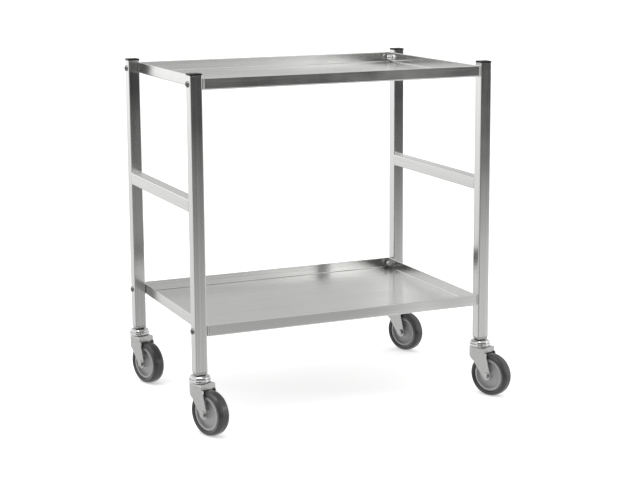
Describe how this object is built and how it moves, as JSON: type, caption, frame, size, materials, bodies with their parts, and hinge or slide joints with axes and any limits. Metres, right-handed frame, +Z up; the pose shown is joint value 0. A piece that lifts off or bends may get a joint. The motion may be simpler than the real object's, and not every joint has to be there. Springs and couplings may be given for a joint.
{
  "type": "instrument trolley",
  "caption": "Open stainless ward trolley: square-tube frame, shallow sheet trays above and below, end rails and swivel casters.",
  "frame": {"origin": "middle of the trolley's bounding box at floor level, with the casters trailing as built", "axes": "+Z up, +X along the trolley to its right end, +Y from its front to its back"},
  "size_m": [0.762, 0.5426, 0.778],
  "materials": {
    "tube": "brushed stainless square tube, grain along its length",
    "sheet": "brushed stainless sheet, semi-bright, grain along the trolley",
    "fastener": "turned stainless, slightly dark",
    "zinc": "bright zinc-plated pressed steel",
    "chrome": "bright plated ball-race housing",
    "cap": "black moulded plastic",
    "hub": "mid-grey moulded plastic",
    "tyre": "dark grey rubber, lightly polished tread"
  },
  "bodies": {
    "frame": {"tray_lower": "sheet", "tray_upper": "sheet", "rail_left": "tube", "rail_right": "tube", "post_front_left": "tube", "cap_front_left": "cap", "bolt_lower_front_left": "fastener", "nut_lower_front_left": "fastener", "bolt_upper_front_left": "fastener", "nut_upper_front_left": "fastener", "caster_front_left_insert": "zinc", "caster_front_left_stem": "zinc", "caster_front_left_race": "chrome", "post_back_left": "tube", "cap_back_left": "cap", "bolt_lower_back_left": "fastener", "nut_lower_back_left": "fastener", "bolt_upper_back_left": "fastener", "nut_upper_back_left": "fastener", "caster_back_left_insert": "zinc", "caster_back_left_stem": "zinc", "caster_back_left_race": "chrome", "post_back_right": "tube", "cap_back_right": "cap", "bolt_lower_back_right": "fastener", "nut_lower_back_right": "fastener", "bolt_upper_back_right": "fastener", "nut_upper_back_right": "fastener", "caster_back_right_insert": "zinc", "caster_back_right_stem": "zinc", "caster_back_right_race": "chrome", "post_front_right": "tube", "cap_front_right": "cap", "bolt_lower_front_right": "fastener", "nut_lower_front_right": "fastener", "bolt_upper_front_right": "fastener", "nut_upper_front_right": "fastener", "caster_front_right_insert": "zinc", "caster_front_right_stem": "zinc", "caster_front_right_race": "chrome"},
    "caster_front_left_swivel": {"caster_front_left_fork": "zinc", "caster_front_left_axle_bolt": "zinc", "caster_front_left_axle_nut": "zinc"},
    "caster_front_left_wheel": {"caster_front_left_hub": "hub", "caster_front_left_tyre": "tyre"},
    "caster_back_left_swivel": {"caster_back_left_fork": "zinc", "caster_back_left_axle_bolt": "zinc", "caster_back_left_axle_nut": "zinc"},
    "caster_back_left_wheel": {"caster_back_left_hub": "hub", "caster_back_left_tyre": "tyre"},
    "caster_back_right_swivel": {"caster_back_right_fork": "zinc", "caster_back_right_axle_bolt": "zinc", "caster_back_right_axle_nut": "zinc"},
    "caster_back_right_wheel": {"caster_back_right_hub": "hub", "caster_back_right_tyre": "tyre"},
    "caster_front_right_swivel": {"caster_front_right_fork": "zinc", "caster_front_right_axle_bolt": "zinc", "caster_front_right_axle_nut": "zinc"},
    "caster_front_right_wheel": {"caster_front_right_hub": "hub", "caster_front_right_tyre": "tyre"}
  },
  "joints": [
    {"name": "caster_front_left_turn", "type": "hinge", "parent": "frame", "child": "caster_front_left_swivel", "pos_m": [-0.35688, -0.19171, 0.113], "axis": [0, 0, 1], "continuous": true},
    {"name": "caster_front_left_roll", "type": "hinge", "parent": "caster_front_left_swivel", "child": "caster_front_left_wheel", "pos_m": [-0.34524, -0.22205, 0.04973], "axis": [0.9336, 0.3584, 0], "continuous": true},
    {"name": "caster_back_left_turn", "type": "hinge", "parent": "frame", "child": "caster_back_left_swivel", "pos_m": [-0.35688, 0.24529, 0.113], "axis": [0, 0, 1], "continuous": true},
    {"name": "caster_back_left_roll", "type": "hinge", "parent": "caster_back_left_swivel", "child": "caster_back_left_wheel", "pos_m": [-0.34684, 0.21438, 0.04973], "axis": [0.9511, 0.309, 0], "continuous": true},
    {"name": "caster_back_right_turn", "type": "hinge", "parent": "frame", "child": "caster_back_right_swivel", "pos_m": [0.33512, 0.24529, 0.113], "axis": [0, 0, 1], "continuous": true},
    {"name": "caster_back_right_roll", "type": "hinge", "parent": "caster_back_right_swivel", "child": "caster_back_right_wheel", "pos_m": [0.34781, 0.21537, 0.04973], "axis": [0.9205, 0.3907, 0], "continuous": true},
    {"name": "caster_front_right_turn", "type": "hinge", "parent": "frame", "child": "caster_front_right_swivel", "pos_m": [0.33512, -0.19171, 0.113], "axis": [0, 0, 1], "continuous": true},
    {"name": "caster_front_right_roll", "type": "hinge", "parent": "caster_front_right_swivel", "child": "caster_front_right_wheel", "pos_m": [0.34885, -0.22117, 0.04973], "axis": [0.9063, 0.4226, 0], "continuous": true}
  ]
}
